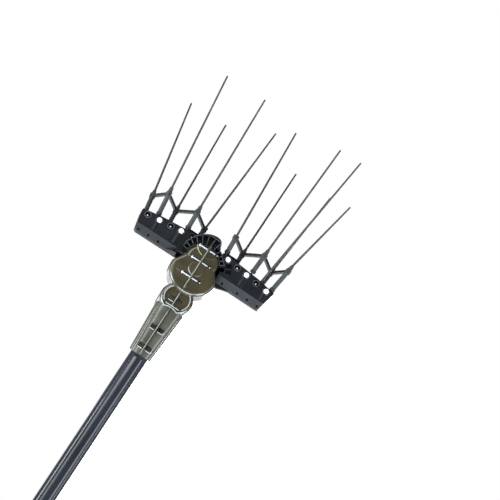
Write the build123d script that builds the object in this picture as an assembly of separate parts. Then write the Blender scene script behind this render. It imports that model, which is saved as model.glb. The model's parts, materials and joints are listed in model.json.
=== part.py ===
from build123d import *
import math
import os

# Electric olive harvester head on its pole.
# Row frame: +Z runs up the pole towards the rod tips, +X to the right, -Y is the front.
# The origin is the centre of the pole spigot's lower end.
# Head parts are drawn about the drum centre and lifted by DRUM_Z when they are saved.

# Pole and its lower spigot
POLE_R = 17.5
POLE_WALL = 2.0
SPIGOT_R = 15.0
SPIGOT_FREE = 60.0
SPIGOT_GLUED = 45.0
SPIGOT_BORE_R = 11.0
CONNECTOR_INSET = 1.5
CONNECTOR_DEPTH = 24.0
CONTACT_TAIL = 6.0
CONTACT_R = 1.5
CONTACT_SPACING = 8.0

# Head layout along Z, measured from the drum centre
DRUM_Z = 640.0
PIVOT_UP = 26.0
MOTOR_DROP = 30.0
KNUCKLE_DROP = 59.0
NECK_TOP = -79.0
NECK_BOTTOM = -189.0
NECK_CUT_UP = -177.2
NECK_CUT_SLOPE = 0.479
POLE_TOP = -118.0
SPIGOT_TOP_END = -114.0

# Housing
DRUM_R = 45.3
LOBE_R = 31.0
DRUM_FRONT = -35.0
DRUM_STEP = -7.0
DRUM_BACK = 35.0
SHOULDER_X = 31.0
SHOULDER_UP = 24.0
SHOULDER_FILLET = 8.0
BRIDGE_HALF = 22.0
HOUSING_FILLET = 6.5
KNUCKLE_R = 31.0
KNUCKLE_HALF = 29.0
KNUCKLE_FILLET = 6.0
KNUCKLE_FLAT = -80.5
KNUCKLE_PANEL_R = 22.5
KNUCKLE_PANEL_FLAT = -75.0
KNUCKLE_PANEL_DEPTH = 2.0
SEAM_HALF = 2.1
SEAM_PROUD = 2.4
CHANNEL_R = 3.6
CHANNEL_HALF = 19.5
CHANNEL_END = 21.0
CHANNEL_Y = -34.4
CHANNEL_HEIGHTS = (51.0, 23.0, -12.7)
SCREW_HEAD_X = -17.0
DRIVER_GROOVE_R = 0.9
DRIVER_GROOVE_END = -31.0
ROUND_BOSS_R = 14.5
ROUND_BOSS_UP = 6.0
ROUND_BOSS_PROUD = 2.0
LOBE_ARC_R = 26.0
LOBE_ARC_UP = 60.0
LOBE_ARC_WIDTH = 1.6
LOBE_ARC_PROUD = 0.9
LOBE_ARC_INSET = 5.0
WIRE_R = 12.0

# Slots in which the two hub plates swing
SLOT_NEAR = 12.0
SLOT_FAR = 25.5
SLOT_R = 61.0
SLOT_FLOOR = 6.0
TAIL_SLOT_HALF = 16.0
TAIL_SLOT_FLOOR = -15.0

# Neck clamp
NECK_LOW = (43.0, 49.0, 16.0)
NECK_HIGH = (56.0, 54.0, 17.0)
POCKET_NEAR = 2.2
POCKET_WIDTH = 10.8
POCKET_HEIGHT = 10.6
POCKET_FLOOR = 18.6
POCKET_STEP = 6.0
POCKET_STEP_RISE = 3.4
POCKET_RIBS = 4
NECK_POCKETS = {-1: (-128.3, -170.5), 1: (-118.0, -151.0)}
KNUCKLE_POCKET = -62.6
KNUCKLE_POCKET_FLOOR = 24.0
NECK_SCREW_Y = 21.0
KNUCKLE_SCREW_Y = 26.4
POCKET_SCREW_UP = 3.0
CLAMP_R = 1.2
CLAMP_HEAD_R = 2.0
CLAMP_HEAD_HEIGHT = 2.4
CLAMP_NUT_FLAT = 3.7
CLOSING_NUT_FLAT = 6.0
CLOSING_NUT_X = 14.0

# Drive: crank gear, motor pinion, eccentric pins
MODULE = 1.0
CRANK_TEETH = 36
PINION_TEETH = 24
PRESSURE_ANGLE = 20.0
BACKLASH = 0.16
ADDENDUM = 0.95
DEDENDUM = 1.25
FLANK_STEPS = 4
GEAR_ROOM = 1.5
GEAR_HALF = 4.0
PINION_HALF = 4.5
WEB_HOLES = 6
WEB_HOLE_R = 2.2
WEB_HOLE_PCR = 12.2
ECCENTRIC = 2.6
CRANK_HUB_R = 8.0
JOURNAL_R = 6.0
JOURNAL_RUN = 0.05
JOURNAL_END = 12.2
PIN_R = 3.0
PIN_END = 24.8
ROLLER_R = 7.0
ROLLER_NEAR = 13.0
ROLLER_FAR = 24.4
CHAMBER_HALF = 5.6
BEARING_R = 11.0
BEARING_END = 11.6
MOTOR_R = 18.0
MOTOR_NEAR = 8.0
MOTOR_FAR = 30.5
MOTOR_WALL = 2.0
MOTOR_BEARING_R = 5.5
STATOR_INSET = 2.0
STATOR_BORE_R = 12.0
ROTOR_INSET = 2.5
AIR_GAP = 0.6
MOTOR_SHAFT_R = 2.5
MOTOR_FIT = 0.06

# Pivot shaft and hub plates
PIVOT_R = 6.0
PIVOT_HALF = 30.0
PIVOT_CHAMFER = 0.8
BUSH_RUN = 0.05
BUSH_R = 8.5
HUB_NEAR = 12.5
HUB_FAR = 25.0
HUB_EYE_R = 14.0
RING_R = 45.0
RING_WALL_R = 33.5
RING_ANGLES = (28.0, 166.0)
RING_CELLS = 11
CREST = (
    (28, 45), (66, 45.5), (72, 50), (79, 58.5), (104, 59.5),
    (112, 57.5), (131, 53), (152, 48.5), (166, 45))
CREST_NEAR = 16.3
CELL_DEPTH = 7.0
CELL_WALL = 2.2
RIB_ANGLE = 1.0
FORK_HALF = 11.0
FORK_SLOT_HALF = 7.4
FORK_TOP = 11.5
FORK_FLOOR = -9.0
ARM_IN = 34.5
ARM_OUT = 92.0
ARM_LOW = 27.0
ARM_HIGH = 41.0
ARM_ROOT_OUT = 52.0
ARM_ROOT_LOW = 27.0
ARM_ROOT_HIGH = 42.0
ARM_NEAR = 5.0
ARM_FAR = 11.5
DOWEL_R = 3.0
DOWEL_X = (62.0, 84.0)
DOWEL_WALL = 3.0
DOWEL_END = 6.0
DOWEL_BOSS_END = 10.0

# Comb shells: outline of the left comb at rest, drooping outwards
SHELL_HALF = 16.0
SHELL_WALL = 3.0
INNER_ARC_R = 46.5
INNER_TOP_ANGLE = 122.0
INNER_BOTTOM_UP = 20.0
COMB_TOP_INNER = (-42.5, 71.7)
COMB_TOP_MIDDLE = (-103.0, 65.7)
COMB_TOP_OUTER = (-141.0, 58.7)
COMB_SIDE_LOW = (-132.5, 18.8)
COMB_LOW_FILLET = 6.0
COMB_HIGH_FILLET = 2.5
DROOP = ((-73.0, 20.5), (-73.0, 19.3), (-46.0, 10.3), (-37.0, 9.0), (-37.0, 22.0))
ROOT_R_LEFT = 34.0
ROOT_R_RIGHT = 38.5
ROOT_ANGLES = (164.0, 191.0)
GUSSET_OUT = 72.0
BLOCK_X = (-58.0, -26.0)
BLOCK_TOP = 80.0
BLOCK_HALF = 6.0
BLOCK_CELLS = (-53.0, -44.0, -35.0)
BLOCK_CELL_HALF = 3.6
BLOCK_CELL_DEPTH = 3.5
BLOCK_RIM = 1.6
THIN_START = 30.0
THIN_END = 19.0
THIN_DEPTH = 12.0
BARREL_R = 9.0
BARREL_PROUD = 1.8
BARREL_LOW = 33.0
BARREL_GAP = 0.5
BOSS_RING_R = 7.2
BOSS_RING_PROUD = 1.0
ROOT_SOLID_R = 64.0
ROOT_CELLS = ((143.0, 152.5), (155.0, 165.0))
ROOT_CELL_R = (49.0, 60.0)
ROOT_CELL_DEPTH = 6.0
ROD_BOX_HALF = 6.0
ROD_BOX_SHIFT = 2.0
ROD_BOX_FLOOR = 42.0

# Rods, sleeves and the zig-zag brace; row +1 stands at the back of the left comb
ROD_R = 2.15
ROD_TIP_R = 1.6
TIP_ROUND = 1.3
TAPER_SHARE = 0.9
ROD_FIT = 0.08
ROOT_CHANNEL = 60.0
ROD_LENGTH = 242.0
KNEE_ABOVE = 12.0
KNEE_RUN = 20.0
BRACE_UP = 107.6
ROW_HALF = 22.0
ROW_TILT = 15.5
ROD_FLOOR = 44.0
INNER_ROD_FLOOR = 66.0
ROD_NAMES = ("a", "b", "c", "d", "e")
CRANKED_TILT = {"a": 0.058, "e": -0.14}
ROD_X = (-28.0, -54.8, -89.2, -116.2, -140.2)
ROD_ROW = (1, -1, 1, -1, 1)
LEFT_RODS = ((0.050, -3.0), (-0.042, 16.4), (-0.060, 14.5), (-0.126, 17.1), (-0.170, 14.1))
RIGHT_RODS = ((0.053, 0.9), (-0.006, 16.4), (-0.047, 14.5), (-0.078, 17.1), (-0.205, 14.1))
SHORT_ROD = 166.0
EXTRA_ROD_X = 114.9
EXTRA_ROD_FLOOR = 61.0
EXTRA_ROD_SLOPE = (-0.126, 17.1)
SLEEVE_R = 4.3
SLEEVE_ABOVE = 4.5
SLEEVE_TIP = 9.0
SLEEVE_TIP_R = 3.1
SLEEVE_GAP = 4.5
RING_HEIGHT = 4.5
END_RING_R = 5.3
COLLAR_R = 5.6
COLLAR_HEIGHT = 8.0
BAR_WIDTH = 4.6
BAR_HEIGHT = 5.6
GROOVE_WIDTH = 1.8
GROOVE_DEPTH = 0.9
BEND_R = 60.0

# Fasteners
SCREW_TAIL = 1.5
M5_R = 2.4
M5_HOLE_R = 2.6
CROSS_DEPTH = 0.45
CROSS_LENGTH = 1.1
CROSS_WIDTH = 0.28
PAN_R = 4.75
PAN_HEIGHT = 2.8
NUT_FLAT = 7.0
NUT_HEIGHT = 3.5
RECESS_R = 4.75
RECESS_DEPTH = 9.5
M4_R = 1.6
M4_HEAD_R = 3.0
M4_HEAD_HEIGHT = 3.2
SCREW_X = (-38.0, -60.5, -81.0, -103.7, -126.7)
SCREW_DROP = 0.128
SCREW_UP = 64.3
TAPPING_R = 1.3
TAPPING_HEAD_R = 2.2
TAPPING_HEAD_HEIGHT = 1.6
TAPPING_X = (-52.5, -85.0, -106.0, -127.0)
TAPPING_UP = 22.5
TAPPING_FACE = 5.5

BIG = 400.0
OVER = 1.0
HEAD = Pos(0, 0, DRUM_Z)
TURN = Rot(0, 0, 180)


def slab(sketch, y_low, y_high):
    """Extrude a sketch drawn in X and Z from one Y to another."""
    return extrude(Plane.XZ.offset(-y_high) * sketch, y_high - y_low)


def disc(radius, up, y_low, y_high, x=0.0):
    """A round slab whose axis runs along Y."""
    return slab(Pos(x, up) * Circle(radius), y_low, y_high)


def block(x_low, x_high, y_low, y_high, z_low, z_high):
    """A box from its six faces."""
    size = (x_high - x_low, y_high - y_low, z_high - z_low)
    middle = ((x_low + x_high) / 2, (y_low + y_high) / 2, (z_low + z_high) / 2)
    return Pos(*middle) * Box(*size)


def rod_along_z(radius, z_low, z_high):
    """A round bar on the Z axis."""
    return Pos(0, 0, (z_low + z_high) / 2) * Cylinder(radius, z_high - z_low)


def rod_along_x(radius, x_low, x_high, y, z):
    """A round bar that runs along X."""
    bar = Rot(0, 90, 0) * Cylinder(radius, x_high - x_low)
    return Pos((x_low + x_high) / 2, y, z) * bar


def polar(radius, angle):
    """A point about the pivot in X and Z, angle in degrees from +X."""
    turn = math.radians(angle)
    return (radius * math.cos(turn), PIVOT_UP + radius * math.sin(turn))


def half(solid, side):
    """The part of a solid on one side of the seam plane X = 0."""
    keep = block(0, BIG, -BIG, BIG, -BIG, BIG)
    if side < 0:
        keep = block(-BIG, 0, -BIG, BIG, -BIG, BIG)
    return solid & keep


def hex_nut(flat, height, hole_r):
    """A hexagonal nut on the Z axis, its base at Z = 0."""
    nut = extrude(RegularPolygon(flat / 2, 6, major_radius=False), height)
    return nut - rod_along_z(hole_r, -1, height + 1)


def pan_screw(shank_r, length, head_r, head_height):
    """A pan-head screw: head above Z = 0, shank down to -length."""
    head = Pos(0, 0, head_height / 2) * Cylinder(head_r, head_height)
    head = fillet(head.edges().sort_by(Axis.Z)[-1], head_height * CROSS_DEPTH)
    arm = Box(head_r * CROSS_LENGTH, head_r * CROSS_WIDTH, head_height * CROSS_DEPTH * 2)
    cross = Pos(0, 0, head_height) * (arm + Rot(0, 0, 90) * arm)
    shank = rod_along_z(shank_r, -length, head_height * CROSS_DEPTH / 2)
    return head - cross + shank


# Housing -----------------------------------------------------------------------------------

def front_outline():
    """Bell outline of the drum's front: round base, sloping shoulders, round lobe."""
    lower = Circle(DRUM_R) & (Pos(0, -BIG / 2) * Rectangle(BIG, BIG))
    shoulders = make_face(Polyline(
        (-DRUM_R, 0), (-SHOULDER_X, SHOULDER_UP), (SHOULDER_X, SHOULDER_UP), (DRUM_R, 0), close=True))
    outline = lower + shoulders + Pos(0, PIVOT_UP) * Circle(LOBE_R)
    corners = [v for v in outline.vertices() if abs(v.Y) < 1.0 and abs(v.X) > DRUM_R - 1]
    return fillet(corners, SHOULDER_FILLET)


def rear_outline():
    """Narrower body behind the drum, with the bridge that holds the motor."""
    tall = Rectangle(2 * LOBE_R, PIVOT_UP)
    outline = Circle(LOBE_R) + Pos(0, PIVOT_UP) * Circle(LOBE_R) + Pos(0, PIVOT_UP / 2) * tall
    bridge = Pos(0, -KNUCKLE_DROP / 2) * Rectangle(2 * BRIDGE_HALF, KNUCKLE_DROP)
    return outline + bridge


def seam_ridge():
    """Raised ridge where the two housing halves meet, front, back and over the top."""
    drum_low = -DRUM_R + HOUSING_FILLET / 2
    drum_high = PIVOT_UP + LOBE_R + SEAM_PROUD
    drum = Rectangle(2 * (-DRUM_FRONT + SEAM_PROUD), drum_high - drum_low)
    knuckle_reach = KNUCKLE_HALF + SEAM_PROUD - KNUCKLE_PANEL_DEPTH
    knuckle = Rectangle(2 * knuckle_reach, drum_low - KNUCKLE_FLAT)
    sketch = Pos(0, (drum_low + drum_high) / 2) * drum + Pos(0, (drum_low + KNUCKLE_FLAT) / 2) * knuckle
    return extrude(Plane.YZ.offset(-SEAM_HALF) * sketch, 2 * SEAM_HALF)


def knuckle_body():
    """Round knuckle under the drum, flat below, with a rim round a sunken panel on both faces."""
    body = disc(KNUCKLE_R, -KNUCKLE_DROP, -KNUCKLE_HALF, KNUCKLE_HALF)
    ends = body.faces().sort_by(Axis.Y)
    body = fillet(ends[0].edges() + ends[-1].edges(), KNUCKLE_FILLET)
    body &= block(-BIG, BIG, -BIG, BIG, KNUCKLE_FLAT, BIG)
    sunk = KNUCKLE_HALF - KNUCKLE_PANEL_DEPTH
    panel = Pos(0, -KNUCKLE_DROP) * Circle(KNUCKLE_PANEL_R)
    panel &= Pos(0, KNUCKLE_PANEL_FLAT + BIG / 2) * Rectangle(BIG, BIG)
    body -= slab(panel, -KNUCKLE_HALF - 1, -sunk)
    return body - slab(panel, sunk, KNUCKLE_HALF + 1)


def front_trim():
    """Round boss and curved rib on the drum's front face."""
    boss = disc(ROUND_BOSS_R, ROUND_BOSS_UP, DRUM_FRONT - ROUND_BOSS_PROUD, DRUM_FRONT + 2)
    boss = fillet(boss.faces().sort_by(Axis.Y)[0].edges(), ROUND_BOSS_PROUD / 2)
    rib = Pos(0, LOBE_ARC_UP) * (Circle(LOBE_ARC_R) - Circle(LOBE_ARC_R - LOBE_ARC_WIDTH))
    rib &= Pos(0, PIVOT_UP) * Circle(LOBE_R - LOBE_ARC_INSET)
    return boss + slab(rib, DRUM_FRONT - LOBE_ARC_PROUD, DRUM_FRONT + OVER)


def screw_channels():
    """Open channels across the drum's front in which the three closing screws lie."""
    cut = Part()
    for up in CHANNEL_HEIGHTS:
        cut += rod_along_x(M4_R, -CHANNEL_HALF, CHANNEL_HALF, CHANNEL_Y, up)
        cut += rod_along_x(CHANNEL_R, -CHANNEL_END, -SEAM_HALF, CHANNEL_Y, up)
        cut += rod_along_x(CHANNEL_R, SEAM_HALF, CHANNEL_END, CHANNEL_Y, up)
    for up in CHANNEL_HEIGHTS[1:]:
        groove = up - CHANNEL_R / 2
        cut += rod_along_x(DRIVER_GROOVE_R, DRIVER_GROOVE_END, -CHANNEL_HALF, DRUM_FRONT, groove)
    return cut


def hub_slot(side):
    """Room in the housing for one hub plate and its forked tail."""
    low = min(side * SLOT_NEAR, side * SLOT_FAR)
    high = max(side * SLOT_NEAR, side * SLOT_FAR)
    sweep = Pos(0, PIVOT_UP) * Circle(SLOT_R)
    sweep &= Pos(0, SLOT_FLOOR + BIG / 2) * Rectangle(BIG, BIG)
    tail_height = SLOT_FLOOR - TAIL_SLOT_FLOOR + 1
    tail = Pos(0, TAIL_SLOT_FLOOR + tail_height / 2) * Rectangle(2 * TAIL_SLOT_HALF, tail_height)
    return slab(sweep + tail, low, high)


def housing_hollows():
    """Everything that is cut out of the housing."""
    hollow = hub_slot(-1) + hub_slot(1)
    gear_room = MODULE * (CRANK_TEETH / 2 + 1) + GEAR_ROOM
    pinion_room = MODULE * (PINION_TEETH / 2 + 1) + GEAR_ROOM
    hollow += disc(gear_room, 0, -CHAMBER_HALF, CHAMBER_HALF)
    hollow += disc(pinion_room, -MOTOR_DROP, -CHAMBER_HALF, CHAMBER_HALF)
    hollow += disc(BEARING_R, 0, -SLOT_NEAR, SLOT_NEAR)
    hollow += disc(PIVOT_R, PIVOT_UP, -PIVOT_HALF, PIVOT_HALF)
    hollow += disc(MOTOR_R, -MOTOR_DROP, CHAMBER_HALF, MOTOR_FAR)
    hollow += rod_along_z(WIRE_R, SPIGOT_TOP_END - 1, -MOTOR_DROP)
    hollow += screw_channels()
    for side in (-1, 1):
        hollow += pocket_pair(side, KNUCKLE_POCKET, KNUCKLE_POCKET_FLOOR)
        up = KNUCKLE_POCKET + POCKET_SCREW_UP
        hollow += rod_along_x(CLAMP_R, -POCKET_NEAR - 1, POCKET_NEAR + 1, side * KNUCKLE_SCREW_Y, up)
    return hollow


def pocket_pair(side, up, floor):
    """Two stepped pockets, one each side of the seam: deep above and shallow and ribbed below."""
    y_edges = sorted((side * floor, side * BIG))
    step_edges = sorted((side * (floor + POCKET_STEP_RISE), side * BIG))
    middle = up - POCKET_HEIGHT / 2 + POCKET_STEP
    high = up + POCKET_HEIGHT / 2
    far = POCKET_NEAR + POCKET_WIDTH
    rib = POCKET_WIDTH / (2 * POCKET_RIBS - 1)
    cut = block(POCKET_NEAR, far, y_edges[0], y_edges[1], middle, high)
    for k in range(POCKET_RIBS):
        left = POCKET_NEAR + 2 * k * rib
        cut += block(left, left + rib, y_edges[0], y_edges[1], up - POCKET_HEIGHT / 2, middle)
    cut += block(POCKET_NEAR, far, step_edges[0], step_edges[1], up - POCKET_HEIGHT / 2, middle)
    return cut + mirror(cut, Plane.YZ)


def housing_body():
    """The whole gearbox housing before it is split along the seam."""
    drum = slab(front_outline(), DRUM_FRONT, DRUM_STEP)
    drum = fillet(drum.faces().sort_by(Axis.Y)[0].edges(), HOUSING_FILLET)
    rear = slab(rear_outline(), DRUM_STEP, DRUM_BACK)
    rear = fillet(rear.faces().sort_by(Axis.Y)[-1].edges(), HOUSING_FILLET)
    body = drum + rear + knuckle_body() + front_trim() + seam_ridge()
    body += rod_along_z(POLE_R, SPIGOT_TOP_END, -KNUCKLE_DROP)
    return body - housing_hollows()


# Neck --------------------------------------------------------------------------------------

def neck_body():
    """Tapering clamp round the pole top and the housing's spigot, before it is split."""
    low = Plane.XY.offset(NECK_BOTTOM) * RectangleRounded(*NECK_LOW)
    high = Plane.XY.offset(NECK_TOP) * RectangleRounded(*NECK_HIGH)
    body = loft([low, high], ruled=True)
    ridge_points = (
        (-NECK_LOW[1] / 2 - SEAM_PROUD, NECK_BOTTOM), (NECK_LOW[1] / 2 + SEAM_PROUD, NECK_BOTTOM),
        (NECK_HIGH[1] / 2 + SEAM_PROUD, NECK_TOP), (-NECK_HIGH[1] / 2 - SEAM_PROUD, NECK_TOP))
    ridge = make_face(Polyline(*ridge_points, close=True))
    body += extrude(Plane.YZ.offset(-SEAM_HALF) * ridge, 2 * SEAM_HALF)
    body -= rod_along_z(POLE_R, NECK_BOTTOM - 1, NECK_TOP + 1)
    knuckle = disc(KNUCKLE_R, -KNUCKLE_DROP, -BIG, BIG)
    body -= knuckle & block(-BIG, BIG, -BIG, BIG, KNUCKLE_FLAT, BIG)
    reach = 2 * POLE_R
    cut = [(y, NECK_CUT_UP + NECK_CUT_SLOPE * y) for y in (-reach, reach)]
    below = make_face(Polyline(*cut, (reach, -BIG), (-reach, -BIG), close=True))
    body -= extrude(Plane.YZ.offset(-BIG / 2) * below, BIG)
    for side, heights in NECK_POCKETS.items():
        for up in heights:
            body -= pocket_pair(side, up, POCKET_FLOOR)
            axis_up = up + POCKET_SCREW_UP
            body -= rod_along_x(CLAMP_R, -POCKET_NEAR - 1, POCKET_NEAR + 1, side * NECK_SCREW_Y, axis_up)
    return body


def clamp_screw(y, up):
    """A short screw across the seam, its head in the left pocket."""
    screw = pan_screw(CLAMP_R, 2 * POCKET_NEAR + NUT_HEIGHT + 1, CLAMP_HEAD_R, CLAMP_HEAD_HEIGHT)
    return Pos(-POCKET_NEAR, y, up) * (Rot(0, -90, 0) * screw)


def clamp_nut(y, up):
    """The nut of a clamp screw, in the right pocket."""
    return Pos(POCKET_NEAR, y, up) * (Rot(0, 90, 0) * hex_nut(CLAMP_NUT_FLAT, NUT_HEIGHT, CLAMP_R))


def clamp_places():
    """Where the short screws cross the seam: four in the neck, two in the knuckle."""
    neck = [(side * NECK_SCREW_Y, up + POCKET_SCREW_UP)
            for side, heights in NECK_POCKETS.items() for up in heights]
    return neck + [(side * KNUCKLE_SCREW_Y, KNUCKLE_POCKET + POCKET_SCREW_UP) for side in (-1, 1)]


# Pole --------------------------------------------------------------------------------------

def pole_parts():
    """Pole tube, glued spigot, connector insert and its contacts, from the origin up."""
    top = DRUM_Z + POLE_TOP
    tube = rod_along_z(POLE_R, SPIGOT_FREE, top) - rod_along_z(POLE_R - POLE_WALL, SPIGOT_FREE - 1, top + 1)
    spigot = rod_along_z(SPIGOT_R, 0, SPIGOT_FREE)
    spigot += rod_along_z(POLE_R - POLE_WALL, SPIGOT_FREE, SPIGOT_FREE + SPIGOT_GLUED)
    spigot -= rod_along_z(SPIGOT_BORE_R, -1, SPIGOT_FREE + SPIGOT_GLUED + 1)
    insert = rod_along_z(SPIGOT_BORE_R, CONNECTOR_INSET, CONNECTOR_DEPTH)
    contacts = [Pos(x, 0, 0) * rod_along_z(CONTACT_R, CONNECTOR_INSET / 3, CONNECTOR_DEPTH + CONTACT_TAIL)
                for x in (-CONTACT_SPACING / 2, CONTACT_SPACING / 2)]
    insert -= contacts[0] + contacts[1]
    return {"pole_tube": tube, "pole_spigot": spigot, "pole_connector": insert,
            "connector_contacts": Compound(children=contacts)}


# Drive -------------------------------------------------------------------------------------

def gear_face(teeth, start_angle):
    """Involute spur gear outline with a tooth centred on the start angle."""
    pitch_r = MODULE * teeth / 2
    base_r = pitch_r * math.cos(math.radians(PRESSURE_ANGLE))
    root_r = pitch_r - DEDENDUM * MODULE
    tip_r = pitch_r + ADDENDUM * MODULE
    involute_at_pitch = math.tan(math.radians(PRESSURE_ANGLE)) - math.radians(PRESSURE_ANGLE)
    half_tooth = (math.pi * MODULE / 2 - BACKLASH) / 2 / pitch_r + involute_at_pitch
    flank_low = max(base_r, root_r)
    radii = [flank_low + (tip_r - flank_low) * k / FLANK_STEPS for k in range(FLANK_STEPS + 1)]
    flank = []
    for radius in radii:
        roll = math.acos(min(1.0, base_r / radius))
        flank.append((radius, half_tooth - (math.tan(roll) - roll)))
    profile = [(root_r, -flank[0][1])] + [(r, -a) for r, a in flank]
    profile += [(r, a) for r, a in reversed(flank)] + [(root_r, flank[0][1])]
    points = []
    for tooth in range(teeth):
        centre = math.radians(start_angle) + 2 * math.pi * tooth / teeth
        points += [(r * math.cos(centre + a), r * math.sin(centre + a)) for r, a in profile]
    unique = [points[0]]
    for point in points[1:]:
        if math.dist(point, unique[-1]) > 1e-4:
            unique.append(point)
    return make_face(Polyline(*unique, close=True))


def crank_parts():
    """Crank shaft with two opposite eccentric pins, its gear and its rollers."""
    gear = slab(gear_face(CRANK_TEETH, 0.0), -GEAR_HALF, GEAR_HALF)
    gear -= disc(CRANK_HUB_R, 0, -GEAR_HALF - 1, GEAR_HALF + 1)
    for k in range(WEB_HOLES):
        angle = 2 * math.pi * k / WEB_HOLES
        x = WEB_HOLE_PCR * math.cos(angle)
        gear -= disc(WEB_HOLE_R, WEB_HOLE_PCR * math.sin(angle), -GEAR_HALF - 1, GEAR_HALF + 1, x)
    shaft = disc(CRANK_HUB_R, 0, -GEAR_HALF, GEAR_HALF) + disc(JOURNAL_R, 0, -JOURNAL_END, JOURNAL_END)
    shaft += disc(PIN_R, ECCENTRIC, -PIN_END, -JOURNAL_END) + disc(PIN_R, -ECCENTRIC, JOURNAL_END, PIN_END)
    front_roller = disc(ROLLER_R, ECCENTRIC, -ROLLER_FAR, -ROLLER_NEAR)
    front_roller -= disc(PIN_R, ECCENTRIC, -ROLLER_FAR - 1, -ROLLER_NEAR + 1)
    back_roller = TURN * front_roller
    back_roller = Pos(0, 0, -2 * ECCENTRIC) * back_roller
    return {"crank_gear": gear, "crank_shaft": shaft,
            "front_eccentric_roller": front_roller, "back_eccentric_roller": back_roller}


def motor_parts():
    """Motor case with its end plate, and the turning shaft, rotor and pinion."""
    axis_up = -MOTOR_DROP
    end = MOTOR_FAR - MOTOR_WALL
    case = disc(MOTOR_R, axis_up, MOTOR_NEAR, MOTOR_FAR)
    case -= disc(MOTOR_R - MOTOR_WALL, axis_up, MOTOR_NEAR - OVER, end)
    plate = disc(MOTOR_R, axis_up, MOTOR_NEAR - MOTOR_WALL, MOTOR_NEAR)
    plate -= disc(MOTOR_BEARING_R, axis_up, -BIG, BIG)
    bearing = disc(MOTOR_BEARING_R, axis_up, MOTOR_NEAR - MOTOR_WALL, MOTOR_NEAR + OVER)
    bearing -= disc(MOTOR_SHAFT_R + MOTOR_FIT, axis_up, -BIG, BIG)
    ring = disc(MOTOR_R - MOTOR_WALL, axis_up, MOTOR_NEAR + STATOR_INSET, end - STATOR_INSET)
    ring -= disc(STATOR_BORE_R, axis_up, -BIG, BIG)
    shaft = disc(MOTOR_SHAFT_R, axis_up, -PINION_HALF, end - OVER)
    rotor = disc(STATOR_BORE_R - AIR_GAP, axis_up, MOTOR_NEAR + ROTOR_INSET, end - ROTOR_INSET)
    rotor -= disc(MOTOR_SHAFT_R, axis_up, MOTOR_NEAR, MOTOR_FAR)
    phase = 90.0 + 180.0 / PINION_TEETH
    pinion = Pos(0, 0, axis_up) * slab(gear_face(PINION_TEETH, phase), -PINION_HALF, PINION_HALF)
    pinion -= disc(MOTOR_SHAFT_R, axis_up, -PINION_HALF - 1, PINION_HALF + 1)
    return {"motor_case": case, "motor_end_plate": plate, "motor_bearing": bearing,
            "motor_stator": ring, "motor_shaft": shaft, "motor_rotor": rotor, "motor_pinion": pinion}


def shaft_parts():
    """Fixed pivot shaft and the two ball bearings that carry the crank."""
    shaft = disc(PIVOT_R, PIVOT_UP, -PIVOT_HALF, PIVOT_HALF)
    ends = shaft.edges().filter_by(GeomType.CIRCLE)
    shaft = chamfer(ends, PIVOT_CHAMFER)
    front = disc(BEARING_R, 0, -BEARING_END, -CHAMBER_HALF) - disc(JOURNAL_R + JOURNAL_RUN, 0, -BIG, BIG)
    return {"pivot_shaft": shaft, "crank_bearing_front": front, "crank_bearing_back": TURN * front}


# Hub plates --------------------------------------------------------------------------------

def ring_sector(inner, outer, start, end):
    """A sector of a ring about the pivot, in X and Z."""
    middle = (start + end) / 2
    edges = [
        ThreePointArc(polar(outer, start), polar(outer, middle), polar(outer, end)),
        Line(polar(outer, end), polar(inner, end)),
        ThreePointArc(polar(inner, end), polar(inner, middle), polar(inner, start)),
        Line(polar(inner, start), polar(outer, start))]
    return make_face(edges)


def crest_face(inner):
    """Flared upper rim of the ring, from an inner radius out to the crest line."""
    rim = Spline(*[polar(radius, angle) for angle, radius in CREST])
    start = RING_ANGLES[0]
    end = RING_ANGLES[1]
    arc = ThreePointArc(polar(inner, end), polar(inner, (start + end) / 2), polar(inner, start))
    return make_face([rim, Line(polar(CREST[-1][1], end), polar(inner, end)), arc,
                      Line(polar(inner, start), polar(CREST[0][1], start))])


def hub_outline():
    """Disc round the pivot with a forked tail below."""
    ring = ring_sector(HUB_EYE_R / 2, RING_R, *RING_ANGLES)
    eye = Pos(0, PIVOT_UP) * Circle(HUB_EYE_R)
    tail_height = PIVOT_UP - FORK_FLOOR
    tail = Pos(0, FORK_FLOOR + tail_height / 2) * Rectangle(2 * FORK_HALF, tail_height)
    slot_height = FORK_TOP - FORK_FLOOR + 1
    slot = Pos(0, FORK_TOP - slot_height / 2) * Rectangle(2 * FORK_SLOT_HALF, slot_height)
    return ring + eye + tail - slot


def crest_radius(angle):
    """Radius of the crest line at an angle, between its two nearest points."""
    for (low, first), (high, second) in zip(CREST, CREST[1:]):
        if angle <= high:
            return first + (second - first) * (angle - low) / (high - low)
    return CREST[-1][1]


def ring_cells():
    """Sunken cells between the radial ribs of the hub plate's face."""
    cells = []
    step = (RING_ANGLES[1] - RING_ANGLES[0]) / RING_CELLS
    for k in range(RING_CELLS):
        start = RING_ANGLES[0] + k * step + RIB_ANGLE
        end = RING_ANGLES[0] + (k + 1) * step - RIB_ANGLE
        outer = min(crest_radius(start), crest_radius(end)) - CELL_WALL
        cells.append(ring_sector(RING_WALL_R + CELL_WALL, outer, start, end))
    return cells


def arm_root():
    """Outline of the web between the hub plate and the comb."""
    web = Pos(-ARM_ROOT_OUT / 2, (ARM_ROOT_LOW + ARM_ROOT_HIGH) / 2)
    web *= Rectangle(ARM_ROOT_OUT, ARM_ROOT_HIGH - ARM_ROOT_LOW)
    return web - Pos(0, PIVOT_UP) * Circle(ARM_IN)


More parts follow.
